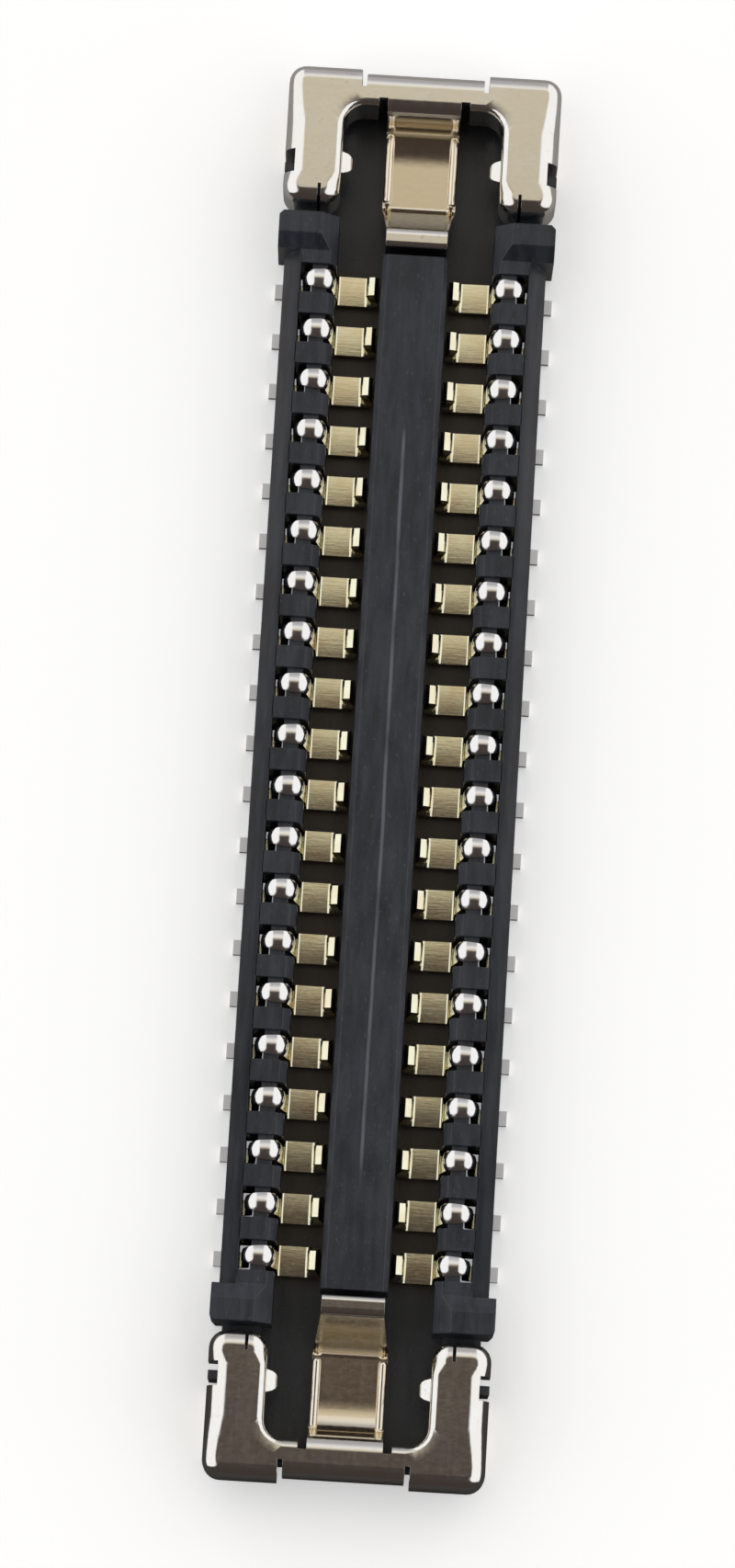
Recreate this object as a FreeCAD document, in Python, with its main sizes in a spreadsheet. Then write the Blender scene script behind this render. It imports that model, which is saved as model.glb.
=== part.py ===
import FreeCAD, Part
import os
import Sketcher

# Receptacle half of a two-row board connector, with a folded metal fitting at each end.
# X runs across the rows, Y along them, Z up. The origin is the centre of the soldering plane.
# All sizes are in millimetres.

doc = FreeCAD.newDocument("board_connector")
sheet = doc.addObject("Spreadsheet::Sheet", "Sizes")
sheet_rows = []


class Size:
    # A length that carries its value and the expression that ties it to the sheet.
    def __init__(self, text, value):
        self.text = text
        self.value = float(value)

    def __add__(self, other):
        other = as_size(other)
        return Size(f"({self.text} + {other.text})", self.value + other.value)

    def __sub__(self, other):
        other = as_size(other)
        return Size(f"({self.text} - {other.text})", self.value - other.value)

    def __mul__(self, other):
        other = as_size(other)
        return Size(f"({self.text} * {other.text})", self.value * other.value)

    def __truediv__(self, other):
        other = as_size(other)
        return Size(f"({self.text} / {other.text})", self.value / other.value)

    def __neg__(self):
        return Size(f"(0 - {self.text})", -self.value)

    def __abs__(self):
        return Size(f"abs({self.text})", abs(self.value))


def as_size(number):
    return number if isinstance(number, Size) else Size(str(number), number)


def cell(alias, number, note):
    # One driving dimension: its name, its value and what it measures.
    sheet_rows.append(alias)
    row = len(sheet_rows)
    sheet.set(f"A{row}", alias)
    sheet.set(f"B{row}", str(number))
    sheet.set(f"C{row}", note)
    sheet.setAlias(f"B{row}", alias)
    return Size(f"Sizes.{alias}", number)


# The rows of contacts
pitch = cell("pitch", 0.35, "from one contact to the next")
per_row = cell("contacts_per_row", 20, "contacts in each row")

# The moulding, from the middle outwards
island_width = cell("island_width", 0.45, "centre island, across")
island_height = cell("island_height", 0.50, "top of the island")
island_overrun = cell("island_overrun", 0.195, "island beyond the last contact's middle")
island_bevel = cell("island_bevel", 0.035, "bevel along the island's top edges")
moat_width = cell("moat_width", 0.305, "from the island to a side wall")
moat_floor = cell("moat_floor", 0.10, "top of the moat's floor")
wall_width = cell("wall_width", 0.365, "side wall at its foot")
wall_height = cell("wall_height", 0.50, "top of the side walls")
wall_slope = cell("wall_slope", 0.115, "run of the side wall's outer slope")
wall_foot = cell("wall_foot", 0.24, "top of the upright part below that slope")
lead_in = cell("lead_in", 0.05, "bevel along the side walls' inner top edges")
standoff = cell("standoff", 0.02, "moulding above the soldering plane")

# The shoulders at the corners of the moulding
shoulder_height = cell("shoulder_height", 0.57, "top of the shoulders")
shoulder_length = cell("shoulder_length", 0.25, "shoulder along the row")
shoulder_slope = cell("shoulder_slope", 0.10, "run of its slope up from the wall")
shoulder_proud = cell("shoulder_proud", 0.045, "shoulder outside the side wall")
shoulder_corner = cell("shoulder_corner", 0.03, "bevel on its upright outer corners")

# The folded fittings
fitting_gap = cell("fitting_gap", 0.06, "from a shoulder to the fitting")
fitting_length = cell("fitting_length", 0.97, "fitting along the row")
fitting_width = cell("fitting_width", 1.86, "fitting across its skirts")
fitting_top = cell("fitting_top", 0.60, "top of the plate, the highest point")
fitting_stock = cell("fitting_stock", 0.06, "thickness of its sheet")
fitting_bend = cell("fitting_bend", 0.10, "outside radius of the skirts' bends")
outer_corner = cell("outer_corner", 0.07, "bevel on the fitting's outer corners seen from above")
inner_corner = cell("inner_corner", 0.07, "bevel on its opening's corners seen from above")
plate_side = cell("plate_side", 0.39, "plate from a side skirt to the opening")
bar_depth = cell("bar_depth", 0.27, "end bar along the row")
skirt_bottom = cell("skirt_bottom", 0.24, "lower edge of the skirts")
leg_start = cell("leg_start", 0.37, "from the fitting's front to the solder leg")
leg_length = cell("leg_length", 0.45, "solder leg along the row")
notch_length = cell("notch_length", 0.16, "notch in front of the solder leg")
notch_depth = cell("notch_depth", 0.07, "how far the notch reaches in")
slit_width = cell("slit_width", 0.035, "slits between the tabs")
slit_depth = cell("slit_depth", 0.13, "how far the slits reach in")
front_tab = cell("front_tab", 0.125, "small front tab beside the opening")
end_tab = cell("end_tab", 0.80, "centre tab at the end, across")
end_slit_depth = cell("end_slit_depth", 0.14, "how far the slits beside the centre tab reach in")
end_tab_bend = cell("end_tab_bend", 0.10, "outside radius of the centre tab's bend")
end_tab_set_in = cell("end_tab_set_in", 0.03, "centre tab behind the corner skirts")
end_tab_bottom = cell("end_tab_bottom", 0.30, "lower edge of the centre tab")
bump_start = cell("bump_start", 0.24, "from the fitting's front to the bump")
bump_length = cell("bump_length", 0.15, "bump along the row")
bump_radius = cell("bump_radius", 0.10, "radius of the bump on the inner flange")
bump_proud = cell("bump_proud", 0.075, "how far the bump stands out")
bump_middle = cell("bump_middle", 0.40, "height of the bump's middle")

# The tongue, folded from the same sheet
tongue_width = cell("tongue_width", 0.50, "tongue, across")
tongue_tip = cell("tongue_tip", 0.416, "raised tip of the tongue, across")
tongue_slit = cell("tongue_slit", 0.07, "slit on each side of the tongue's root")
tongue_back = cell("tongue_back", 0.32, "from the fitting's end to the tongue's upright")
tongue_foot = cell("tongue_foot", 0.40, "from the island's end to the foot of the ramp")
tongue_crest = cell("tongue_crest", 0.16, "from the island's end to the top of the ramp")
tongue_nose = cell("tongue_nose", 0.12, "tip past the top of the ramp")
tongue_top = cell("tongue_top", 0.565, "top of the raised tip")
tongue_hook = cell("tongue_hook", 0.24, "how far the tip's end turns down")
tongue_ramp = cell("tongue_ramp", 0.07, "ramp measured level through the sheet")
tongue_bend = cell("tongue_bend", 0.045, "inside radius of the tongue's bends")

# The frame of the moulding inside each fitting
fitting_play = cell("fitting_play", 0.01, "clearance from a fitting to the moulding")
frame_set_in = cell("frame_set_in", 0.12, "moulding's end behind the fitting's end")
frame_sill = cell("frame_sill", 0.20, "moulding below the fitting's front skirt")
frame_bevel = cell("frame_bevel", 0.035, "bevel on the frames' top and corner edges")
lug_length = cell("lug_length", 0.06, "lug that shows in the notch")
lug_height = cell("lug_height", 0.40, "top of the lug")

# The contacts
contact_stock = cell("contact_stock", 0.05, "thickness of the contact strip")
contact_width = cell("contact_width", 0.20, "strip in the moat")
saddle_width = cell("saddle_width", 0.17, "strip over the side wall")
saddle_top = cell("saddle_top", 0.52, "top of the strip over the wall")
saddle_span = cell("saddle_span", 0.23, "strip across the wall, outside its legs")
tail_width = cell("tail_width", 0.10, "outer leg and solder tail")
tail_reach = cell("tail_reach", 0.055, "solder tail outside the wall")
strip_floor = cell("strip_floor", 0.12, "underside of the strip in the moat")
arm_gap = cell("arm_gap", 0.02, "sprung arm to the island")
arm_height = cell("arm_height", 0.36, "top of the sprung arm")
contact_bend = cell("contact_bend", 0.04, "inside radius of the strip's bends")
contact_play = cell("contact_play", 0.015, "clearance round a contact")

# How far a cutting shape runs past what it cuts
past = cell("cut_past", 0.05, "cutters beyond the surface they cut")

doc.recompute()

# Places that follow from the driving sizes
row_half = pitch * (per_row - 1) / 2
island_half = island_width / 2
moat_half = island_half + moat_width
wall_half = moat_half + wall_width
island_end = row_half + island_overrun
shoulder_end = island_end + shoulder_length
shoulder_half = wall_half + shoulder_proud
fitting_front = shoulder_end + fitting_gap
fitting_end = fitting_front + fitting_length
fitting_half = fitting_width / 2
plate_under = fitting_top - fitting_stock
opening_half = fitting_half - plate_side
opening_end = fitting_end - bar_depth
frame_inner = opening_half + fitting_stock + fitting_play
frame_outer = fitting_half - fitting_stock - fitting_play
frame_front = fitting_front + fitting_stock + fitting_play
frame_end = fitting_end - frame_set_in
saddle_in = moat_half
saddle_out = moat_half + saddle_span
core_in = saddle_in + contact_stock + contact_play
core_out = saddle_out - contact_stock - contact_play
core_top = saddle_top - contact_stock
slot_width = saddle_width + contact_play * 2


def bind(thing, name, size):
    # Ties one property of a document object to the sheet.
    thing.setExpression(name, as_size(size).text)


def new_body(name):
    body = doc.addObject("PartDesign::Body", name)
    body.Label = name
    return body


def origin_plane(body, role):
    return next(feature for feature in body.Origin.OriginFeatures if feature.Role == role)


def outline(body, name, role, loops, offset=0):
    # A sketch of closed loops. Every corner is held by two distances from the origin.
    drawing = body.newObject("Sketcher::SketchObject", name)
    drawing.AttachmentSupport = (origin_plane(body, role), [""])
    drawing.MapMode = "FlatFace"
    bind(drawing, "AttachmentOffset.Base.z", offset)
    for loop in loops:
        corners = [(as_size(across), as_size(up)) for across, up in loop]
        spots = [FreeCAD.Vector(across.value, up.value, 0) for across, up in corners]
        first = drawing.GeometryCount
        for i, spot in enumerate(spots):
            drawing.addGeometry(Part.LineSegment(spot, spots[(i + 1) % len(spots)]), False)
        for i, (across, up) in enumerate(corners):
            following = first + (i + 1) % len(corners)
            drawing.addConstraint(Sketcher.Constraint("Coincident", first + i, 2, following, 1))
            for kind, size in (("DistanceX", across), ("DistanceY", up)):
                held = Sketcher.Constraint(kind, -1, 1, first + i, 1, size.value)
                number = drawing.addConstraint(held)
                drawing.setExpression(f"Constraints[{number}]", size.text)
    return drawing


def pad(body, name, drawing, length, midplane=False):
    feature = body.newObject("PartDesign::Pad", name)
    feature.Profile = drawing
    feature.Midplane = midplane
    bind(feature, "Length", length)
    doc.recompute()
    return feature


def pocket(body, name, drawing, length, midplane=False, reverse=False):
    feature = body.newObject("PartDesign::Pocket", name)
    feature.Profile = drawing
    feature.Midplane = midplane
    feature.Reversed = reverse
    bind(feature, "Length", length)
    doc.recompute()
    return feature


def edges_at(shape, axis, spots):
    # Names of the edges parallel to an axis that pass through the given places.
    # Each place gives the two other coordinates, in their usual order.
    near = 1e-4
    others = [i for i in range(3) if i != axis]
    places = [(as_size(first).value, as_size(second).value) for first, second in spots]
    found = []
    for number, edge in enumerate(shape.Edges, 1):
        start, end = edge.Vertexes[0].Point, edge.Vertexes[-1].Point
        if abs(start[axis] - end[axis]) < near or any(abs(start[i] - end[i]) > near for i in others):
            continue
        if any(all(abs(start[i] - place[k]) < near for k, i in enumerate(others)) for place in places):
            found.append(f"Edge{number}")
    return found


def edges_level_at(shape, height):
    # Names of the edges that lie wholly at one height.
    level = as_size(height).value
    near = 1e-4
    boxes = [edge.BoundBox for edge in shape.Edges]
    return [
        f"Edge{number}"
        for number, box in enumerate(boxes, 1)
        if abs(box.ZMin - level) < near and abs(box.ZMax - level) < near
    ]


def lowest_face(shape):
    heights = [face.BoundBox.ZMax for face in shape.Faces]
    return f"Face{heights.index(min(heights)) + 1}"


def blend(body, name, kind, size, edges):
    # A fillet or a chamfer on named edges of the body's latest feature.
    feature = body.newObject(f"PartDesign::{kind}", name)
    feature.Base = (body.Group[-2], edges)
    bind(feature, "Radius" if kind == "Fillet" else "Size", size)
    doc.recompute()
    return feature


def both_sides(loop):
    # The loop and its mirror image across the first axis of the sketch.
    return [loop, [(-as_size(across), up) for across, up in loop]]


def block(low_x, high_x, low_y, high_y):
    # A rectangle seen from above.
    return [(low_x, low_y), (high_x, low_y), (high_x, high_y), (low_x, high_y)]


def make_housing():
    body = new_body("housing")

    # Side walls and floor, as one section drawn along the rows
    wall_top = wall_half - wall_slope
    section = [
        (-wall_half, standoff),
        (wall_half, standoff),
        (wall_half, wall_foot),
        (wall_top, wall_height),
        (-wall_top, wall_height),
        (-wall_half, wall_foot),
    ]
    pad(body, "walls", outline(body, "wall_section", "XZ_Plane", [section]), shoulder_end * 2, True)

    # Shoulders that rise from the ends of the walls
    shoulder = [
        (island_end, standoff),
        (shoulder_end, standoff),
        (shoulder_end, shoulder_height),
        (island_end + shoulder_slope, shoulder_height),
        (island_end, wall_height),
    ]
    side_view = outline(body, "shoulder_section", "YZ_Plane", both_sides(shoulder))
    shoulders = pad(body, "shoulders", side_view, shoulder_half * 2, True)
    upright = [(x, y) for x in (shoulder_half, -shoulder_half) for y in (shoulder_end, -shoulder_end)]
    blend(body, "shoulder_corners", "Chamfer", shoulder_corner, edges_at(shoulders.Shape, 2, upright))

    # Frames that carry the fittings, with a sill in front for the skirts
    frame = [
        (shoulder_end, standoff),
        (frame_end, standoff),
        (frame_end, plate_under),
        (frame_front, plate_under),
        (frame_front, frame_sill),
        (shoulder_end, frame_sill),
    ]
    side_view = outline(body, "frame_section", "YZ_Plane", both_sides(frame))
    pad(body, "frames", side_view, frame_outer * 2, True)

    # The moat round the island, wider inside the frames for the fittings' inner flanges
    moat_end = opening_end + fitting_stock + fitting_play
    moat = [
        (moat_half, -shoulder_end),
        (moat_half, shoulder_end),
        (frame_inner, shoulder_end),
        (frame_inner, moat_end),
        (-frame_inner, moat_end),
        (-frame_inner, shoulder_end),
        (-moat_half, shoulder_end),
        (-moat_half, -shoulder_end),
        (-frame_inner, -shoulder_end),
        (-frame_inner, -moat_end),
        (frame_inner, -moat_end),
        (frame_inner, -shoulder_end),
    ]
    island = block(-island_half, island_half, -island_end, island_end)
    plan = outline(body, "moat_plan", "XY_Plane", [moat, island], moat_floor)
    opened = pocket(body, "moat", plan, fitting_top + shoulder_height - moat_floor, reverse=True)
    corner = [(frame_outer, frame_end), (frame_outer, frame_front), (frame_inner, frame_front)]
    uprights = [(x * across, y * along) for x, y in corner for across in (1, -1) for along in (1, -1)]
    bevelled = blend(body, "frame_corners", "Chamfer", frame_bevel, edges_at(opened.Shape, 2, uprights))
    blend(body, "frame_bevels", "Chamfer", frame_bevel, edges_level_at(bevelled.Shape, plate_under))

    # One slope on each side of the moat bevels the island, the wall and the shoulders
    rise = shoulder_height - wall_height + lead_in + past
    bevel = [
        (island_half, island_height - island_bevel),
        (moat_half, wall_height - lead_in),
        (moat_half + rise, wall_height - lead_in + rise),
        (island_half - rise, island_height - island_bevel + rise),
    ]
    drawing = outline(body, "bevel_section", "XZ_Plane", both_sides(bevel))
    pocket(body, "bevels", drawing, shoulder_end * 2, True)

    # A lug on each side of each frame, which shows in the fitting's notch
    lug_middle = fitting_front + leg_start - notch_length / 2
    lugs = []
    for across in (1, -1):
        for along in (1, -1):
            low_y = lug_middle * along - lug_length / 2
            low_x = (frame_outer - past) * across
            lugs.append(block(low_x, fitting_half * across, low_y, low_y + lug_length))
    pad(body, "lugs", outline(body, "lug_plan", "XY_Plane", lugs, standoff), lug_height - standoff)

    # A cavity for each contact: over the wall, down its outside and out at its foot
    cavity = [
        (moat_half - past, moat_floor),
        (core_in, moat_floor),
        (core_in, core_top),
        (core_out, core_top),
        (core_out, standoff - past),
        (wall_half + past, standoff - past),
        (wall_half + past, contact_stock + contact_play),
        (saddle_out + contact_play, contact_stock + contact_play),
        (saddle_out + contact_play, wall_height + past),
        (moat_half - past, wall_height + past),
    ]
    drawing = outline(body, "cavity_section", "XZ_Plane", both_sides(cavity), -row_half)
    first = pocket(body, "first_cavities", drawing, slot_width, True)
    row = body.newObject("PartDesign::LinearPattern", "cavities")
    row.Originals = [first]
    row.Direction = (origin_plane(body, "Y_Axis"), [""])
    row.Reversed = True
    bind(row, "Length", row_half * 2)
    bind(row, "Occurrences", per_row)
    body.Tip = row
    return body


def fold_section(upper, lower):
    # The side view of a folded strip: along its upper face, then back along its lower face.
    return upper + lower[::-1]


def make_fitting(name, turn):
    body = new_body(name)
    body.Placement.Rotation = FreeCAD.Rotation(FreeCAD.Vector(0, 0, 1), turn)

    # The plate and its skirts: a block with the opening cut in, rounded, then hollowed
    plan = [
        (-fitting_half, fitting_front),
        (-opening_half, fitting_front),
        (-opening_half, opening_end),
        (opening_half, opening_end),
        (opening_half, fitting_front),
        (fitting_half, fitting_front),
        (fitting_half, fitting_end),
        (-fitting_half, fitting_end),
    ]
    drawing = outline(body, "plate_plan", "XY_Plane", [plan], skirt_bottom)
    solid = pad(body, "plate_block", drawing, fitting_top - skirt_bottom)
    outer = [(x, y) for x in (fitting_half, -fitting_half) for y in (fitting_front, fitting_end)]
    cut = blend(body, "outer_corners", "Chamfer", outer_corner, edges_at(solid.Shape, 2, outer))
    inner = [(x, y) for x in (opening_half, -opening_half) for y in (fitting_front, opening_end)]
    cut = blend(body, "inner_corners", "Chamfer", inner_corner, edges_at(cut.Shape, 2, inner))
    bent = blend(body, "plate_bends", "Fillet", fitting_bend, edges_level_at(cut.Shape, fitting_top))
    shell = body.newObject("PartDesign::Thickness", "plate_shell")
    shell.Base = (bent, [lowest_face(bent.Shape)])
    shell.Reversed = True
    bind(shell, "Value", fitting_stock)
    doc.recompute()

    # Notches at the sides, slits between the tabs, and room for the centre tab and the tongue
    leg_front = fitting_front + leg_start
    slit_side = opening_half + front_tab
    tab_side = end_tab / 2 + slit_width
    tongue_half = tongue_width / 2
    root_side = tongue_half + tongue_slit
    root_end = opening_end + fitting_bend
    notch = block(fitting_half - notch_depth, fitting_half + past, leg_front - notch_length, leg_front)
    slit = block(slit_side, slit_side + slit_width, fitting_front - past, fitting_front + slit_depth)
    end_room = block(-tab_side, tab_side, fitting_end - end_slit_depth, fitting_end + past)
    root_room = block(-root_side, root_side, opening_end - past, root_end)
    cuts = both_sides(notch) + both_sides(slit) + [end_room, root_room]
    drawing = outline(body, "cut_plan", "XY_Plane", cuts, fitting_top + past)
    pocket(body, "cuts", drawing, fitting_top + past * 2)

    # The centre tab at the end, bent down on its own
    tab_end = fitting_end - end_tab_set_in
    tab_root = fitting_end - end_slit_depth
    upper = [(tab_root, fitting_top), (tab_end, fitting_top), (tab_end, end_tab_bottom)]
    lower = [
        (tab_root, plate_under),
        (tab_end - fitting_stock, plate_under),
        (tab_end - fitting_stock, end_tab_bottom),
    ]
    drawing = outline(body, "end_tab_section", "YZ_Plane", [fold_section(upper, lower)])
    added = pad(body, "end_tab_strip", drawing, end_tab, True)
    outside = edges_at(added.Shape, 0, [upper[1]])
    added = blend(body, "end_tab_outside", "Fillet", end_tab_bend, outside)
    inside = edges_at(added.Shape, 0, [lower[1]])
    blend(body, "end_tab_inside", "Fillet", end_tab_bend - fitting_stock, inside)

    # The tongue: down from the plate, along the floor, up a ramp and over to a turned-down tip
    upright = fitting_end - tongue_back
    foot = island_end + tongue_foot
    crest = island_end + tongue_crest
    nose = crest - tongue_nose
    floor_top = moat_floor + fitting_stock
    ramp_share = (tongue_foot - tongue_crest) / (tongue_top - floor_top)
    upper = [
        (root_end, fitting_top),
        (upright, fitting_top),
        (upright, floor_top),
        (foot, floor_top),
        (crest, tongue_top),
        (nose, tongue_top),
        (nose, tongue_top - tongue_hook),
    ]
    lower = [
        (root_end, plate_under),
        (upright + fitting_stock, plate_under),
        (upright + fitting_stock, moat_floor),
        (foot - tongue_ramp + ramp_share * fitting_stock, moat_floor),
        (crest - tongue_ramp + ramp_share * fitting_stock, tongue_top - fitting_stock),
        (nose + fitting_stock, tongue_top - fitting_stock),
        (nose + fitting_stock, tongue_top - tongue_hook),
    ]
    drawing = outline(body, "tongue_section", "YZ_Plane", [fold_section(upper, lower)])
    added = pad(body, "tongue_strip", drawing, tongue_width, True)
    outside = edges_at(added.Shape, 0, [upper[1], lower[2]])
    added = blend(body, "tongue_outside", "Fillet", tongue_bend + fitting_stock, outside)
    inside = edges_at(added.Shape, 0, [lower[1], upper[2], upper[3], upper[4], upper[5], lower[3]])
    blend(body, "tongue_inside", "Fillet", tongue_bend, inside)
    tip_half = tongue_tip / 2
    waist = [
        (tongue_half + past, foot),
        (tongue_half, foot),
        (tip_half, crest),
        (tip_half, nose - past),
        (tongue_half + past, nose - past),
    ]
    drawing = outline(body, "tongue_plan", "XY_Plane", both_sides(waist), fitting_top)
    pocket(body, "tongue_waist", drawing, fitting_top)

    # A bump on each inner flange, which holds the mating half
    bump_face = opening_half + fitting_stock / 2
    bump = [
        (bump_face, bump_middle - bump_radius),
        (opening_half - bump_proud, bump_middle - bump_radius / 2),
        (opening_half - bump_proud, bump_middle + bump_radius / 2),
        (bump_face, bump_middle + bump_radius),
    ]
    bump_end = -(fitting_front + bump_start + bump_length)
    drawing = outline(body, "bump_section", "XZ_Plane", both_sides(bump), bump_end)
    pad(body, "bumps", drawing, bump_length)

    # A solder leg below each long side skirt
    leg = block(fitting_half - fitting_stock, fitting_half, leg_front, leg_front + leg_length)
    pad(body, "legs", outline(body, "leg_plan", "XY_Plane", both_sides(leg)), skirt_bottom)
    return body


def rounded_bend(x, z, radius):
    # The corner of a bend as three facets, from its level side to its upright side.
    # A negative radius rounds the corner on the other side of the upright.
    # A point a third of the way round lies these shares of the radius inside the corner.
    far, near = 0.5, 0.134
    return [
        (x + radius, z),
        (x + radius * far, z - abs(radius) * near),
        (x + radius * near, z - abs(radius) * far),
        (x, z - abs(radius)),
    ]


def make_contact(name, side, number):
    body = new_body(name)
    if side == "left":
        body.Placement.Rotation = FreeCAD.Rotation(FreeCAD.Vector(0, 0, 1), 180)
    bind(body, "Placement.Base.y", row_half - pitch * number)

    # The strip in side view, from the end of the solder tail to the top of the sprung arm
    tail_end = wall_half + tail_reach
    arm = island_half + arm_gap
    round_over = contact_bend + contact_stock
    outer_face = [(tail_end, contact_stock), (saddle_out, contact_stock)]
    outer_face += rounded_bend(saddle_out, saddle_top, -round_over)[::-1]
    outer_face += rounded_bend(saddle_in, saddle_top, round_over)
    outer_face += [
        (saddle_in, strip_floor + contact_stock),
        (arm + contact_stock, strip_floor + contact_stock),
        (arm + contact_stock, arm_height),
    ]
    inner_face = [
        (tail_end, 0),
        (saddle_out - contact_stock, 0),
        (saddle_out - contact_stock, core_top),
        (saddle_in + contact_stock, core_top),
        (saddle_in + contact_stock, strip_floor),
        (arm, strip_floor),
        (arm, arm_height),
    ]
    section = fold_section(outer_face, inner_face)
    strip = pad(body, "strip", outline(body, "side_view", "XZ_Plane", [section]), contact_width, True)
    below = edges_at(strip.Shape, 1, [inner_face[1], inner_face[4], inner_face[5]])
    strip = blend(body, "outer_bevels", "Chamfer", contact_bend, below)
    blend(body, "inner_bevel", "Chamfer", contact_bend / 2, edges_at(strip.Shape, 1, outer_face[1:2]))

    # Seen from above, the strip narrows over the wall and again towards its tail
    saddle_half = saddle_width / 2
    tail_half = tail_width / 2
    beyond = contact_width / 2 + past
    spare = [
        (saddle_in - contact_play, beyond),
        (saddle_in - contact_play, saddle_half),
        (saddle_in + contact_stock * 2, saddle_half),
        (saddle_out - contact_play, tail_half),
        (tail_end + past, tail_half),
        (tail_end + past, beyond),
    ]
    mirrored = [(x, -as_size(y)) for x, y in spare]
    drawing = outline(body, "top_view", "XY_Plane", [spare, mirrored], saddle_top + past)
    pocket(body, "narrowing", drawing, saddle_top + past * 2)
    return body


parts = [make_housing(), make_fitting("end_fitting_rear", 0), make_fitting("end_fitting_front", 180)]
for side in ("left", "right"):
    for number in range(int(per_row.value)):
        parts.append(make_contact(f"contact_{side}_{number + 1:02d}", side, number))
doc.recompute()

failed = [thing.Label for thing in doc.Objects if {"Invalid", "Error"} & set(thing.State)]
failed += [body.Label for body in parts if body.Shape.isNull() or not body.Shape.isValid()]
if failed:
    raise SystemExit("These did not build: " + ", ".join(failed))

os.makedirs("parts", exist_ok=True)
for body in parts:
    body.Shape.exportStep(f"parts/{body.Label}.step")
print(len(parts), "parts written")
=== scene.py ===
import bmesh
import bpy
import math
from mathutils import Matrix, Vector


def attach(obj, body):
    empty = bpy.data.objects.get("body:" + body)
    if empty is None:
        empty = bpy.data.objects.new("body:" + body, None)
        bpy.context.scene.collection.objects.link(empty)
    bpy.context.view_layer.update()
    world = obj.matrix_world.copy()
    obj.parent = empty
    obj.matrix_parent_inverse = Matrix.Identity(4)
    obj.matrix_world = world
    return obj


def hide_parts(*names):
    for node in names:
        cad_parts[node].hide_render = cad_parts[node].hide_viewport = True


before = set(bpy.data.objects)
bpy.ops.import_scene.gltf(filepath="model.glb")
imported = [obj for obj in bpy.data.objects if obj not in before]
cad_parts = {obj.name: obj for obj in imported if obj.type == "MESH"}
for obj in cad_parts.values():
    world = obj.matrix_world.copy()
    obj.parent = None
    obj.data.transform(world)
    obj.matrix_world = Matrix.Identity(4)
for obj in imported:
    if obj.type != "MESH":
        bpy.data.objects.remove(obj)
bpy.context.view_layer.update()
print("frame loaded:", len(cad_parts), "solids")

perMetre = 1000.0  # the meshes are worked in millimetres, then brought to metres
samePoint = 1e-5  # millimetres, as are the next three
touching = 1e-4
sliver = 5e-4
close = 1e-3
sharpAngle = math.radians(34)
softAngle = math.radians(50)
roundedWeight = 0.001
levelWeight = 100.0
sortAlong = Vector((1.0, 7.3, 53.1))  # a slanting direction, so that no two places tie
bendStep = 16  # degrees at most from one line of a bend to the next


# Shader helpers

class Wire:
    # a node's socket: an expression on it adds the Math nodes that it needs

    def __init__(self, tree, socket):
        self.tree = tree
        self.socket = socket

    def calc(self, operation, left, right):
        return self.tree.add("ShaderNodeMath", {"operation": operation}, {0: left, 1: right})

    def __add__(self, other):
        return self.calc("ADD", self, other)

    def __radd__(self, other):
        return self.calc("ADD", other, self)

    def __sub__(self, other):
        return self.calc("SUBTRACT", self, other)

    def __rsub__(self, other):
        return self.calc("SUBTRACT", other, self)

    def __mul__(self, other):
        return self.calc("MULTIPLY", self, other)

    def __rmul__(self, other):
        return self.calc("MULTIPLY", other, self)

    def __truediv__(self, other):
        return self.calc("DIVIDE", self, other)

    def __rtruediv__(self, other):
        return self.calc("DIVIDE", other, self)

    def __abs__(self):
        return self.calc("ABSOLUTE", self, 0.0)


class Tree:
    # the nodes of one material or of the world

    def __init__(self, owner):
        owner.use_nodes = True
        self.tree = owner.node_tree
        self.tree.nodes.clear()

    def find(self, sockets, name):
        # by number, by name or, where names repeat, by identifier
        if isinstance(name, int) or name in sockets:
            return sockets[name]
        return next(s for s in sockets if s.identifier == name)

    def add(self, kind, settings=None, sockets=None, output=0):
        node = self.tree.nodes.new(kind)
        for name, value in (settings or {}).items():
            if name == "stops":
                elements = node.color_ramp.elements
                while len(elements) < len(value):
                    elements.new(0.5)
                for element, (place, colour) in zip(elements, value):
                    element.position = place
                    element.color = (*colour, 1.0)
            else:
                setattr(node, name, value)
        for name, value in (sockets or {}).items():
            socket = self.find(node.inputs, name)
            if isinstance(value, Wire):
                self.tree.links.new(value.socket, socket)
            else:
                socket.default_value = value
        return Wire(self, self.find(node.outputs, output)) if node.outputs else None

    def ramp(self, value, start, end):
        # 0 below start and 1 above end, eased between them
        settings = {"interpolation_type": "SMOOTHSTEP", "clamp": True}
        return self.add("ShaderNodeMapRange", settings, {"Value": value, "From Min": start, "From Max": end})

    def blend(self, share, first, second):
        # a colour between two, by a share from 0 to 1
        sockets = {"Factor_Float": share}
        for name, colour in (("A_Color", first), ("B_Color", second)):
            sockets[name] = colour if isinstance(colour, Wire) else (*colour, 1.0)
        return self.add("ShaderNodeMix", {"data_type": "RGBA"}, sockets, "Result_Color")

    def place(self, stretch=(1.0, 1.0, 1.0)):
        # where a point lies on the piece, in millimetres, with a stretch for each axis
        where = self.add("ShaderNodeTexCoord", output="Object")
        scale = [perMetre * share for share in stretch]
        return self.add("ShaderNodeMapping", None, {"Vector": where, "Scale": scale})

    def noise(self, where, scale, detail, roughness):
        sockets = {"Vector": where, "Scale": scale, "Detail": detail, "Roughness": roughness}
        return self.add("ShaderNodeTexNoise", None, sockets)

    def axes(self, where):
        outputs = self.add("ShaderNodeSeparateXYZ", None, {"Vector": where}).socket.node.outputs
        return [Wire(self, outputs[axis]) for axis in ("X", "Y", "Z")]

    def bump(self, height, depth):
        # depth in millimetres
        sockets = {"Height": height, "Distance": depth / perMetre, "Strength": 1.0}
        return self.add("ShaderNodeBump", None, sockets)

    def finish(self, sockets):
        shader = self.add("ShaderNodeBsdfPrincipled", None, sockets)
        self.add("ShaderNodeOutputMaterial", None, {"Surface": shader})


# Finishes

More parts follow.
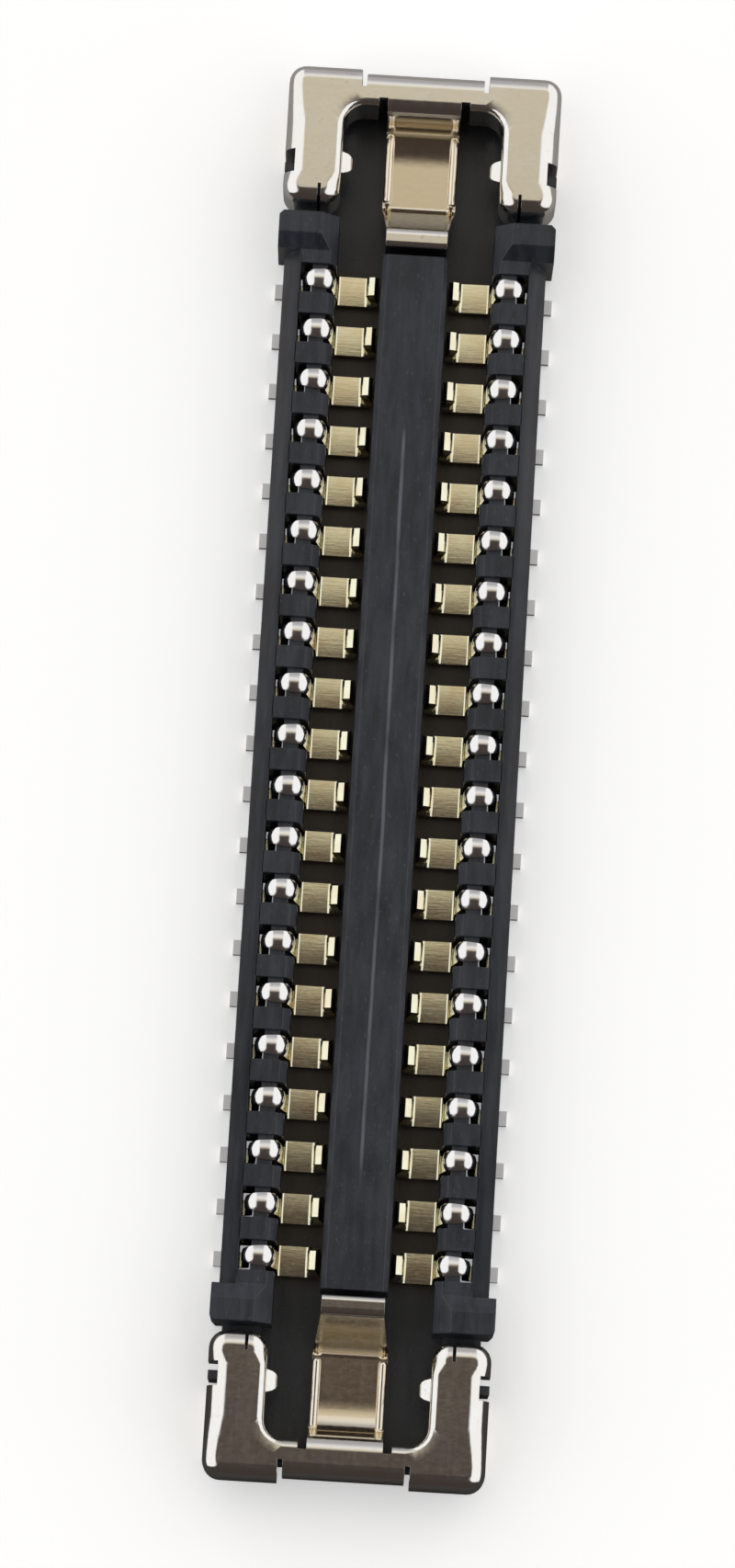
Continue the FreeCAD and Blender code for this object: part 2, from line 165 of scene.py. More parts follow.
plasticLook = {
    "dark": (0.016, 0.018, 0.024),
    "pale": (0.033, 0.038, 0.051),
    "fibre": (0.075, 0.080, 0.092),
    "line": (0.120, 0.132, 0.155),  # a moulding line along the middle of the island, drawn lighter as a painted highlight on it
    "slope": (0.075, 0.078, 0.086),  # painted sheen: the outer slopes of the side walls drawn lighter, as if they mirrored the bright room
    "trenchShade": (0.024, 0.014, 0.004),  # painted shade between the contacts, browned as a painted reflection of their gold
    "cavity": (0.022, 0.023, 0.026),  # painted shade round the tongues
    "clouds": (1.6, 4.0, 0.6),  # scale, detail and roughness, as for the next four
    "flow": (5.0, 4.0, 0.55),
    "speck": (62.0, 2.0, 0.5),
    "grain": (95.0, 3.0, 0.6),
    "wander": (1.3, 2.0, 0.5),
    "flowStretch": (3.2, 0.5, 2.0),  # flow marks run with the moulding
    "speckStretch": (1.0, 0.35, 1.0),
    "paleFrom": (0.36, 0.66),
    "speckFrom": (0.62, 0.76),
    "lineFlow": (0.30, 0.58),
    "lineEdge": (0.0044, 0.0165),  # millimetres, as are the next ones down to trenchHalf
    "lineStart": (-2.90, -2.50),
    "lineStop": (2.20, 2.35),
    "lineWander": 0.05,
    "islandTop": (0.46, 0.48),
    "slopeFrom": (0.79, 0.84),
    "slopeBelow": (0.49, 0.51),
    "insideBelow": (0.10, 0.34),
    "insideHalf": (0.70, 0.80),
    "trenchHalf": (3.42, 3.52),
    "roughness": 0.34,
    "grainDepth": 0.0011,
}


def mouldedPlastic():
    look = plasticLook
    finish = bpy.data.materials.new("moulded_plastic")
    tree = Tree(finish)
    where = tree.place()
    stretched = tree.place(look["speckStretch"])
    clouds = tree.noise(where, *look["clouds"])
    flow = tree.noise(tree.place(look["flowStretch"]), *look["flow"])
    speck = tree.ramp(tree.noise(stretched, *look["speck"]), *look["speckFrom"])
    grain = tree.noise(where, *look["grain"])
    cover = tree.ramp(clouds * 0.45 + flow * 0.55, *look["paleFrom"])
    colour = tree.blend(cover, look["dark"], look["pale"])
    colour = tree.blend(speck * 0.55, colour, look["fibre"])
    x, y, z = tree.axes(where)
    # the moulding line down the island, lightened as a painted highlight
    wander = (tree.noise(stretched, *look["wander"]) - 0.5) * look["lineWander"]
    line = 1 - tree.ramp(abs(x + wander), *look["lineEdge"])
    line = line * tree.ramp(z, *look["islandTop"])
    line = line * tree.ramp(y, *look["lineStart"]) * (1 - tree.ramp(y, *look["lineStop"]))
    line = line * (0.35 + tree.ramp(flow, *look["lineFlow"]) * 0.6)
    colour = tree.blend(line, colour, look["line"])
    # painted sheen on the outer slopes of the side walls, lighter where they would mirror the bright room
    slopeSheen = tree.ramp(abs(x), *look["slopeFrom"]) * (1 - tree.ramp(z, *look["slopeBelow"]))
    colour = tree.blend(slopeSheen * (0.3 + cover * 0.4), colour, look["slope"])
    # painted shade: the low floor between the side walls is drawn darker, as shade falls there
    inside = (1 - tree.ramp(z, *look["insideBelow"])) * (1 - tree.ramp(abs(x), *look["insideHalf"]))
    low = tree.blend(tree.ramp(abs(y), *look["trenchHalf"]), look["trenchShade"], look["cavity"])
    colour = tree.blend(inside * 0.92, colour, low)
    height = grain * 0.7 + flow * 0.9 + speck * 0.5
    tree.finish({
        "Base Color": colour,
        "Roughness": look["roughness"] + (flow - 0.5) * 0.22 + (grain - 0.5) * 0.2,
        "Normal": tree.bump(height, look["grainDepth"]),
        "Specular IOR Level": 0.5,
    })
    return finish


fittingLook = {
    "plating": (0.88, 0.85, 0.80),
    "pale": (0.89, 0.88, 0.86),
    "tarnish": (0.70, 0.59, 0.48),
    "gold": (0.86, 0.77, 0.61),
    "ramp": (0.19, 0.165, 0.12),  # the shaded slope near the tongue's tip
    "rolled": (3.0, 4.0, 0.6),  # scale, detail and roughness, as for the next two
    "clouds": (3.4, 4.0, 0.62),
    "mottle": (26.0, 3.0, 0.6),
    "rolledStretch": (14.0, 0.8, 14.0),  # fine lines of the rolled sheet
    "paleFrom": (0.35, 0.65),
    "tarnishFrom": (0.55, 0.75),
    "goldBelow": (0.14, 0.50),  # millimetres, as are the next four
    "rampEnd": (3.90, 3.96),
    "rampAbove": (0.17, 0.24),
    "rampBelow": (0.53, 0.56),
    "rampHalf": (0.26, 0.30),
    "roughness": 0.13,
    "grainDepth": 0.0007,
}


def fittingPlating():
    look = fittingLook
    finish = bpy.data.materials.new("fitting_plating")
    tree = Tree(finish)
    where = tree.place()
    rolled = tree.noise(tree.place(look["rolledStretch"]), *look["rolled"])
    clouds = tree.noise(where, *look["clouds"])
    mottle = tree.noise(where, *look["mottle"])
    x, y, z = tree.axes(where)
    colour = tree.blend(tree.ramp(clouds, *look["paleFrom"]), look["plating"], look["pale"])
    tarnished = tree.ramp(mottle * 0.6 + clouds * 0.4, *look["tarnishFrom"])
    colour = tree.blend(tarnished * 0.5, colour, look["tarnish"])
    golden = 1 - tree.ramp(z + (clouds - 0.5) * 0.1, *look["goldBelow"])
    colour = tree.blend(golden * 0.85, colour, look["gold"])
    slope = (1 - tree.ramp(abs(y), *look["rampEnd"])) * (1 - tree.ramp(abs(x), *look["rampHalf"]))
    slope = slope * tree.ramp(z, *look["rampAbove"]) * (1 - tree.ramp(z, *look["rampBelow"]))
    colour = tree.blend(slope * (0.85 + (mottle - 0.5) * 0.3), colour, look["ramp"])
    tree.finish({
        "Base Color": colour,
        "Roughness": look["roughness"] + (rolled - 0.5) * 0.10 + (mottle - 0.5) * 0.12,
        "Metallic": 1.0,
        "Normal": tree.bump(rolled * 0.8 + mottle * 0.5, look["grainDepth"]),
    })
    return finish


contactLook = {
    "gold": (0.92, 0.90, 0.69),
    "deep": (0.88, 0.79, 0.57),
    "silver": (0.88, 0.87, 0.86),
    "tin": (0.90, 0.90, 0.90),
    "drawn": (4.0, 4.0, 0.6),  # scale, detail and roughness, as for the next two
    "clouds": (5.5, 3.0, 0.6),
    "mottle": (40.0, 3.0, 0.6),
    "drawnStretch": (1.5, 16.0, 1.5),  # lines along the drawn strip
    "deepFrom": (0.35, 0.68),
    "highlightAbove": (0.34, 0.47),  # millimetres: above this the saddles and arm tips turn silver, a painted highlight for their white reflections
    "tinFrom": (0.82, 0.86),  # millimetres: the solder tails are tinned and matt
    "tinMatt": 0.42,
    "roughness": 0.14,
    "grainDepth": 0.0006,
}


def contactPlating():
    look = contactLook
    finish = bpy.data.materials.new("contact_plating")
    tree = Tree(finish)
    where = tree.place()
    drawn = tree.noise(tree.place(look["drawnStretch"]), *look["drawn"])
    clouds = tree.noise(where, *look["clouds"])
    mottle = tree.noise(where, *look["mottle"])
    x, y, z = tree.axes(where)
    colour = tree.blend(tree.ramp(clouds, *look["deepFrom"]), look["gold"], look["deep"])
    # painted highlight: the high saddles and arm tips are drawn silver so that they shine white
    paintedHighlight = tree.ramp(z + (mottle - 0.5) * 0.12, *look["highlightAbove"])
    colour = tree.blend(paintedHighlight, colour, look["silver"])
    tinned = tree.ramp(abs(x) + (mottle - 0.5) * 0.02, *look["tinFrom"])
    colour = tree.blend(tinned, colour, look["tin"])
    shine = look["roughness"] + (drawn - 0.5) * 0.12 + (mottle - 0.5) * 0.14
    tree.finish({
        "Base Color": colour,
        "Roughness": shine + tinned * look["tinMatt"],
        "Metallic": 1.0,
        "Normal": tree.bump(drawn * 0.8 + mottle * 0.5, look["grainDepth"]),
    })
    return finish


# Mesh helpers

def unique(parts):
    # each part once and in order, so that every run builds the same mesh
    return list(dict.fromkeys(parts))


def shareOf(value, start, end):
    # 0 before start and 1 past end, with an even rise between them
    return min(1.0, max(0.0, (value - start) / (end - start)))


def sharpEdges(bm):
    # slivers are left out, since their angle is noise and differs from run to run
    shared = [e for e in bm.edges if len(e.link_faces) == 2 and e.calc_length() > sliver]
    return [e for e in shared if e.calc_face_angle(0.0) > sharpAngle]


def roundOff(bm, geom, size, segments, affect="EDGES"):
    return bmesh.ops.bevel(
        bm, geom=geom, offset=size, offset_type="OFFSET", segments=segments,
        profile=0.5, affect=affect, clamp_overlap=True, material=-1,
    )["faces"]


def soften(bm, size):
    # rounds every sharp edge; only the rounded faces are marked smooth, which evenNormals reads
    for face in bm.faces:
        face.smooth = False
    for face in roundOff(bm, sharpEdges(bm), size, 2):
        face.smooth = True


def evenNormals(mesh):
    # each corner takes the direction of the flats that meet softly there,
    # and the small rounded edges follow them
    around = [[] for vert in mesh.vertices]
    faces = []
    for face in mesh.polygons:
        level = max(abs(part) for part in face.normal) > 0.9999
        weight = roundedWeight if face.use_smooth else levelWeight if level else 1.0
        faces.append((face.normal.copy(), face.area * weight, face.use_smooth))
        for vert in face.vertices:
            around[vert].append(faces[-1])
    normals = []
    for face, (normal, weight, rounded) in zip(mesh.polygons, faces):
        for vert in face.vertices:
            total = Vector()
            for otherNormal, otherWeight, otherRounded in around[vert]:
                reach = softAngle if rounded or otherRounded else sharpAngle
                if otherNormal.dot(normal) > math.cos(reach):
                    total += otherNormal * otherWeight
            normals.append(total.normalized())
    mesh.shade_smooth()
    mesh.normals_split_custom_set(normals)


def benchMesh(name, bm):
    # from the bench in millimetres to a mesh in metres
    bmesh.ops.scale(bm, vec=[1 / perMetre] * 3, verts=bm.verts)
    mesh = bpy.data.meshes.new(name)
    bm.to_mesh(mesh)
    bm.free()
    evenNormals(mesh)
    return mesh


def placed(name, mesh, finish, node):
    mesh.materials.clear()
    mesh.materials.append(finish)
    piece = bpy.data.objects.new(name, mesh)
    bpy.context.scene.collection.objects.link(piece)
    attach(piece, "root")
    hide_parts(node)


def cutLine(bm, axis, value, faces=None):
    # a cut line through the given faces, at one value of one axis
    faces = faces if faces is not None else bm.faces[:]
    edges = unique(e for f in faces for e in f.edges)
    verts = unique(v for f in faces for v in f.verts)
    normal = [0.0, 0.0, 0.0]
    normal[axis] = 1.0
    point = [0.0, 0.0, 0.0]
    point[axis] = value
    geom = [*verts, *edges, *faces]
    bmesh.ops.bisect_plane(bm, geom=geom, dist=samePoint, plane_co=point, plane_no=normal)


def cutOut(bm, lowX, highX, lowY, highY):
    # takes a rectangle, seen from above, out of the sheet
    for axis, value in ((1, lowY), (1, highY), (0, lowX), (0, highX)):
        near = []
        for face in bm.faces:
            xs = [v.co.x for v in face.verts]
            ys = [v.co.y for v in face.verts]
            if min(xs) < highX and max(xs) > lowX and min(ys) < highY and max(ys) > lowY:
                near.append(face)
        cutLine(bm, axis, value, near)
    gone = []
    for face in bm.faces:
        middle = face.calc_center_median()
        if lowX < middle.x < highX and lowY < middle.y < highY:
            gone.append(face)
    bmesh.ops.delete(bm, geom=gone, context="FACES")


def inOrder(bm):
    # Some operators leave the parts in a chance order, and the normals depend on it.
    # So they are built again in the order of their places, each face from its first point.
    bm.verts.sort(key=lambda v: v.co.dot(sortAlong))
    bm.verts.index_update()
    bm.faces.sort(key=lambda f: f.calc_center_median().dot(sortAlong))
    ordered = bmesh.new()
    verts = [ordered.verts.new(v.co) for v in bm.verts]
    for face in bm.faces:
        around = [v.index for v in face.verts]
        first = around.index(min(around))
        copy = ordered.faces.new([verts[index] for index in around[first:] + around[:first]])
        copy.smooth = face.smooth
    ordered.normal_update()
    bm.free()
    return ordered


def thickened(bm, stock):
    bmesh.ops.solidify(bm, geom=bm.faces[:], thickness=stock)
    bmesh.ops.recalc_face_normals(bm, faces=bm.faces)
    return inOrder(bm)


def fold(bm, edges, heading, up, steps):
    # Draws a strip out from the edges: ("run", length) or ("bend", angle, radius).
    # A bend with a positive angle turns towards the side that up points to.
    heading, up = Vector(heading), Vector(up)
    for step in steps:
        if step[0] == "run":
            made = bmesh.ops.extrude_edge_only(bm, edges=edges)["geom"]
            verts = [g for g in made if isinstance(g, bmesh.types.BMVert)]
            bmesh.ops.translate(bm, vec=heading * step[1], verts=verts)
            edges = endEdges(made, verts)
        else:
            angle, radius = math.radians(step[1]), step[2]
            side = up if angle > 0 else -up
            centre = edges[0].verts[0].co + side * radius
            axis = heading.cross(up)
            count = max(2, math.ceil(abs(step[1]) / bendStep))
            verts = unique(v for e in edges for v in e.verts)
            made = bmesh.ops.spin(
                bm, geom=[*edges, *verts], cent=centre, axis=axis,
                dvec=(0, 0, 0), angle=angle, steps=count, use_duplicate=False,
            )["geom_last"]
            edges = [g for g in made if isinstance(g, bmesh.types.BMEdge)]
            turn = Matrix.Rotation(angle, 3, axis)
            heading, up = turn @ heading, turn @ up
    return edges


def endEdges(made, verts):
    new = set(verts)
    return [g for g in made if isinstance(g, bmesh.types.BMEdge) and new.issuperset(g.verts)]


# Housing

housingShape = {
    "mergeWithin": 0.0005,
    "flatWithin": 1,  # degrees
    "edge": 0.005,
}


def makeHousing(finish):
    shape = housingShape
    bm = bmesh.new()
    bm.from_mesh(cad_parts["housing"].data)
    bmesh.ops.scale(bm, vec=[perMetre] * 3, verts=bm.verts)
    bmesh.ops.remove_doubles(bm, verts=bm.verts, dist=shape["mergeWithin"])
    flat = math.radians(shape["flatWithin"])
    bmesh.ops.dissolve_limit(bm, angle_limit=flat, verts=bm.verts, edges=bm.edges, delimit=set())
    bmesh.ops.connect_verts_concave(bm, faces=bm.faces)
    soften(bm, shape["edge"])
    mesh = benchMesh("dressed_housing", bm)
    placed("dressed_housing", mesh, finish, "housing")


# Contacts

contactShape = {
    "pitch": 0.35,
    "perRow": 20,
    "stock": 0.05,
    "lines": (-1.0, -0.6, 0.0, 0.6, 1.0),  # points across the strip, in half widths
    "tailEnd": 0.95,
    "tailHalf": 0.05,
    "saddleHalf": 0.066,
    "stripHalf": 0.10,
    "ogive": (0.60, 0.805),  # seen from above the saddle tapers outwards like an ogive
    "ogiveHalf": 0.028,
    "legTop": (0.12, 0.24),
    "neck": 0.515,  # where the saddle ends and the wide strip starts
    "tipInside": 0.40,
    "tipHalf": 0.062,
    "tipFrom": (0.19, 0.30),
    "tipCorner": (0.275, 0.29),  # inside this x and above this z lie the tip's end faces
    "tipEdge": 0.015,
    "saddleCrown": 0.026,
    "saddleFrom": (0.30, 0.40),
    "armCrown": 0.008,
    "armFrom": (0.37, 0.32),
    "armBelow": 0.24,
    "edge": 0.010,
    "folds": [
        ("run", 0.16),
        ("bend", 90, 0.03),
        ("run", 0.35),
        ("bend", -90, 0.09),
        ("run", 0.05),
        ("bend", -90, 0.09),
        ("run", 0.23),
        ("bend", 90, 0.03),
        ("run", 0.16),
        ("bend", 110, 0.045),
        ("run", 0.07),
        ("bend", -90, 0.035),
        ("run", 0.035),
    ],
}


def makeContactMesh():
    shape = contactShape
    bm = bmesh.new()
    across = [bm.verts.new((shape["tailEnd"], y, shape["stock"])) for y in shape["lines"]]
    first = [bm.edges.new(pair) for pair in zip(across, across[1:])]
    fold(bm, first, (-1, 0, 0), (0, 0, 1), shape["folds"])
    bmesh.ops.remove_doubles(bm, verts=bm.verts, dist=samePoint)
    for vert in bm.verts:
        x, y, z = vert.co
        if x > shape["neck"]:
            taper = math.sqrt(1 - shareOf(x, *shape["ogive"]) ** 2)
            half = max(shape["ogiveHalf"], shape["saddleHalf"] * taper)
            half = shape["tailHalf"] + (half - shape["tailHalf"]) * shareOf(z, *shape["legTop"])
        else:
            rise = shareOf(z, *shape["tipFrom"]) if x < shape["tipInside"] else 0.0
            half = shape["stripHalf"] + (shape["tipHalf"] - shape["stripHalf"]) * rise
        vert.co.y *= half
    bmesh.ops.recalc_face_normals(bm, faces=bm.faces)
    if max(bm.faces, key=lambda f: f.calc_center_median().z).normal.z < 0:
        bmesh.ops.reverse_faces(bm, faces=bm.faces)
    bm.normal_update()
    for vert in bm.verts:  # the saddle and the sprung arm are crowned across the strip
        x, y, z = vert.co
        half = shape["stripHalf"]
        crown = 0.0
        if x > shape["neck"]:
            half = shape["saddleHalf"]
            crown = shape["saddleCrown"] * shareOf(z, *shape["saddleFrom"])
        elif z < shape["armBelow"]:
            crown = shape["armCrown"] * shareOf(x, *shape["armFrom"])
        vert.co -= vert.normal * crown * (y / half) ** 2
    bm = thickened(bm, shape["stock"])
    inside, above = shape["tipCorner"]
    tip = [e for e in sharpEdges(bm) if all(v.co.x < inside and v.co.z > above for v in e.verts)]
    roundOff(bm, tip, shape["tipEdge"], 4)
    soften(bm, shape["edge"])
    return benchMesh("contact", inOrder(bm))


def makeContacts(finish):
    shape = contactShape
    master = makeContactMesh()
    rowHalf = shape["pitch"] * (shape["perRow"] - 1) / 2
    for side, turn in (("left", math.pi), ("right", 0.0)):
        for number in range(shape["perRow"]):
            node = f"contact_{side}_{number + 1:02d}"
            mesh = master.copy()
            y = (rowHalf - shape["pitch"] * number) / perMetre
            mesh.transform(Matrix.Translation((0, y, 0)) @ Matrix.Rotation(turn, 4, "Z"))
            placed(f"dressed_{node}", mesh, finish, node)


# End fittings

fittingShape = {
    "front": 3.83,  # along the row, from the middle of the connector
    "end": 4.80,
    "half": 0.93,
    "top": 0.60,
    "stock": 0.06,
    "bend": 0.10,
    "bendSteps": 6,
    "openingHalf": 0.54,
    "openingEnd": 4.53,
    "skirtBottom": 0.24,
    "corners": {"outerEnd": 0.115, "outerFront": 0.12, "innerFront": 0.12, "opening": 0.13},
    "cornerSteps": 6,
    "notch": (0.86, 1.0, 4.04, 4.20),  # x from and to, then y from and to
    "frontSlit": (0.672, 0.694, 3.7, 3.96),
    "endRoom": (0.435, 4.66),  # half width and root of the gap that the centre tab stands in
    "tongueRoom": (0.31, 4.585),
    "pastEdge": 0.1,
    "leg": (4.20, 4.65),
    "tab": 0.40,
    "tabFolds": [("run", 0.01), ("bend", -90, 0.10), ("run", 0.20)],
    "bendChange": (3.97, 4.05, 4.39, 4.64),  # the edges' bends change their radius between these
    "innerShare": 0.5,
    "sideShare": 1.4,
    "rail": (0.19, 0.25, 3.95, 4.425, 0.12, 0.235),  # x, y and z, each from and to
    "railEdge": 0.028,
    "tongueHalf": 0.25,
    "tipHalf": 0.208,
    "foot": 3.92,
    "crest": 3.68,
    "tongueFolds": [
        ("bend", -90, 0.105),
        ("run", 0.1604),
        ("bend", 84, 0.17),
        ("bend", 6, 1.0),
        ("run", 0.2777),
        ("bend", 59.35, 0.045),
        ("run", 0.4082),
        ("bend", -59.35, 0.065),
        ("run", 0.045),
        ("bend", -90, 0.038),
        ("run", 0.202),
    ],
    "bump": (4.07, 4.22, 0.31, 0.49),  # y and z, each from and to
    "bumpProud": 0.074,
    "bumpRings": ((0.012, 0.55), (0.016, 0.3), (0.02, 0.15)),  # step inwards, and share of the height
    "edge": 0.007,
}


def plateWithBends(bm):
    # the plate seen from above, its corners rounded, then ring by ring up the bend of its edges
    shape = fittingShape
    half, opening = shape["half"], shape["openingHalf"]
    front, end, inner = shape["front"], shape["end"], shape["openingEnd"]
    plan = [
        (half, front, "outerFront"), (half, end, "outerEnd"),
        (-half, end, "outerEnd"), (-half, front, "outerFront"),
        (-opening, front, "innerFront"), (-opening, inner, "opening"),
        (opening, inner, "opening"), (opening, front, "innerFront"),
    ]
    low = shape["top"] - shape["bend"]
    verts = [bm.verts.new((x, y, low)) for x, y, kind in plan]
    bm.faces.new(verts)
    for kind, radius in shape["corners"].items():
        picked = [v for v, (x, y, name) in zip(verts, plan) if name == kind]
        roundOff(bm, picked, radius, shape["cornerSteps"], "VERTICES")
    face = max(bm.faces, key=lambda f: f.calc_area())
    if face.normal.z < 0:
        face.normal_flip()
    outer = [e for e in bm.edges if e.is_boundary]
    skirt = bmesh.ops.extrude_edge_only(bm, edges=outer)["geom"]
    skirtVerts = [g for g in skirt if isinstance(g, bmesh.types.BMVert)]
    bmesh.ops.translate(bm, vec=(0, 0, shape["skirtBottom"] - low), verts=skirtVerts)
    steps = shape["bendSteps"]
    for step in range(steps):
        now = math.radians(90 * step / steps)
        then = math.radians(90 * (step + 1) / steps)
        bmesh.ops.inset_region(
            bm, faces=[face], thickness=shape["bend"] * (math.cos(now) - math.cos(then)),
            depth=shape["bend"] * (math.sin(then) - math.sin(now)),
            use_boundary=True, use_even_offset=True,
        )


def varyBends(bm):
    # the long sides bend on a wider radius than the rest, and the opening's edges on a tight one
    shape = fittingShape
    for y in shape["bendChange"]:
        cutLine(bm, 1, y)
    start, full, hold, stop = shape["bendChange"]
    radius = shape["corners"]["opening"]
    reach = shape["bend"] + touching
    for vert in bm.verts:
        x, y, z = vert.co
        fromTop = shape["top"] - z
        if fromTop > reach or y < start - close:
            continue
        across = abs(x) - (shape["openingHalf"] - radius)
        along = y - (shape["openingEnd"] - radius)
        if across > 0 and along > 0:
            away = Vector((across, along))
            gap = away.length - radius
            away.normalize()
        elif across > along:
            gap, away = across - radius, Vector((1.0, 0.0))
        else:
            gap, away = along - radius, Vector((0.0, 1.0))
        if -touching < gap < reach:
            share = 1 + (shape["innerShare"] - 1) * shareOf(y, start, full)
            vert.co.x -= math.copysign(away.x, x) * gap * (1 - share)
            vert.co.y -= away.y * gap * (1 - share)
            vert.co.z = shape["top"] - fromTop * share
        sideGap = shape["half"] - abs(x)
        if sideGap < reach and y < stop + close:
            wider = min(shareOf(y, start, full), shareOf(y, stop, hold))
            share = 1 + (shape["sideShare"] - 1) * wider
            vert.co.x = math.copysign(shape["half"] - sideGap * share, x)
            vert.co.z = shape["top"] - fromTop * share


def addRails(bm):
    # the sides of the tongue's floor stand up as narrow rails
    lowX, highX, lowY, highY, lowZ, highZ = fittingShape["rail"]
    for side in (1, -1):
        size = Matrix.Diagonal((highX - lowX, highY - lowY, highZ - lowZ, 1.0))
        middle = ((lowX + highX) / 2 * side, (lowY + highY) / 2, (lowZ + highZ) / 2)
        verts = bmesh.ops.create_cube(bm, size=1.0, matrix=Matrix.Translation(middle) @ size)["verts"]
        edges = unique(e for v in verts for e in v.link_edges)
        roundOff(bm, edges, fittingShape["railEdge"], 3)


def rootEdges(bm, y, half):
    # open edges of the plate along one line across it
    found = []
    for edge in bm.edges:
        ends = [v.co for v in edge.verts]
        onLine = all(abs(c.y - y) < touching and abs(c.x) < half + touching for c in ends)
        onTop = all(c.z > fittingShape["top"] - close for c in ends)
        if edge.is_boundary and onLine and onTop:
            found.append(edge)
    return found


def flangeFaces(bm, side):
    # faces of the inner flange on one side of the opening
    shape = fittingShape
    found = []
    for face in bm.faces:
        middle = face.calc_center_median()
        if abs(middle.x * side - shape["openingHalf"]) < close and middle.y < shape["openingEnd"]:
            found.append(face)
    return found


def raiseBumps(bm):
    # on each inner flange a rounded bump that grips the mating half
    shape = fittingShape
    lowY, highY, lowZ, highZ = shape["bump"]
    for side in (1, -1):
        for axis, value in ((1, lowY), (1, highY), (2, lowZ), (2, highZ)):
            cutLine(bm, axis, value, flangeFaces(bm, side))
        patch = []
        for face in flangeFaces(bm, side):
            middle = face.calc_center_median()
            if lowY < middle.y < highY and lowZ < middle.z < highZ:
                patch.append(face)
        for step, share in shape["bumpRings"]:
            bmesh.ops.inset_region(
                bm, faces=patch, thickness=step, depth=0.0, use_boundary=True, use_even_offset=True,
            )
            verts = unique(v for f in patch for v in f.verts)
            bmesh.ops.translate(bm, vec=(-side * shape["bumpProud"] * share, 0, 0), verts=verts)


def addLegs(bm):
    # the solder legs run straight down from the side skirts
    shape = fittingShape
    low, high = shape["leg"]
    feet = []
    for edge in bm.edges:
        ends = [v.co for v in edge.verts]
        atBottom = all(abs(c.z - shape["skirtBottom"]) < touching for c in ends)
        atSide = all(abs(abs(c.x) - shape["half"]) < close for c in ends)
        if edge.is_boundary and atBottom and atSide and all(low - close < c.y < high + close for c in ends):
            feet.append(edge)
    fold(bm, feet, (0, 0, -1), (1, 0, 0), [("run", shape["skirtBottom"])])


def addTongue(bm):
    # it dips to the moat's floor, climbs over its crest and narrows there
    shape = fittingShape
    before = set(bm.verts)
    root = rootEdges(bm, shape["tongueRoom"][1], shape["tongueHalf"])
    fold(bm, root, (0, -1, 0), (0, 0, 1), shape["tongueFolds"])
    narrowing = shape["tipHalf"] / shape["tongueHalf"] - 1
    for vert in set(bm.verts) - before:
        vert.co.x *= 1 + narrowing * shareOf(vert.co.y, shape["foot"], shape["crest"])


def makeFitting(name, turn, finish):
    shape = fittingShape
    bm = bmesh.new()
    plateWithBends(bm)
    varyBends(bm)
    for x in (shape["tab"], shape["tongueHalf"]):
        for side in (1, -1):
            cutLine(bm, 0, x * side)
    cutLine(bm, 1, shape["leg"][1])
    tabHalf, tabRoot = shape["endRoom"]
    tongueHalf, tongueRoot = shape["tongueRoom"]
    cutOut(bm, -tabHalf, tabHalf, tabRoot, shape["end"] + shape["pastEdge"])
    cutOut(bm, -tongueHalf, tongueHalf, shape["openingEnd"] - shape["pastEdge"], tongueRoot)
    for lowX, highX, lowY, highY in (shape["notch"], shape["frontSlit"]):
        cutOut(bm, lowX, highX, lowY, highY)
        cutOut(bm, -highX, -lowX, lowY, highY)
    raiseBumps(bm)
    addLegs(bm)
    fold(bm, rootEdges(bm, tabRoot, shape["tab"]), (0, 1, 0), (0, 0, 1), shape["tabFolds"])
    addTongue(bm)
    bmesh.ops.remove_doubles(bm, verts=bm.verts, dist=samePoint)
    bmesh.ops.connect_verts_concave(bm, faces=bm.faces)
    bmesh.ops.recalc_face_normals(bm, faces=bm.faces)
    if max(bm.faces, key=lambda f: f.calc_center_median().z + f.calc_area()).normal.z < 0:
        bmesh.ops.reverse_faces(bm, faces=bm.faces)
    bm = thickened(bm, shape["stock"])
    soften(bm, shape["edge"])
    addRails(bm)
    bmesh.ops.rotate(bm, cent=(0, 0, 0), matrix=Matrix.Rotation(turn, 3, "Z"), verts=bm.verts)
    piece = f"dressed_{name}"
    placed(piece, benchMesh(piece, bm), finish, name)


# Studio

studio = {
    "floorHalf": 0.5,  # metres, as is the next one
    "floorGap": 0.000002,
    "floorColour": (0.93, 0.93, 0.93),
    "floorLift": 0.345,
    "tableSouth": (0.07, 0.067, 0.064),
    "tableNorth": (0.42, 0.41, 0.40),
    "tableTurn": (-4.5, 5.0),  # millimetres along the row
    "stripEdge": (9.0, 18.0),  # degrees, as are the next two
    "stripSpread": 48.0,
    "stripSouth": (25.0, 80.0),
    "sky": [
        (0.0, (0.052, 0.040, 0.035)),
        (0.08, (0.070, 0.054, 0.046)),
        (0.13, (0.15, 0.125, 0.10)),
        (0.17, (0.27, 0.235, 0.185)),
        (0.215, (0.56, 0.51, 0.40)),
        (0.26, (0.62, 0.55, 0.42)),
        (0.38, (0.86, 0.82, 0.74)),
        (0.58, (0.80, 0.80, 0.80)),
        (0.78, (0.50, 0.49, 0.50)),
        (1.0, (0.42, 0.41, 0.42)),
    ],
    "skyFrom": -2.0,
    "skyTo": 70.0,
}


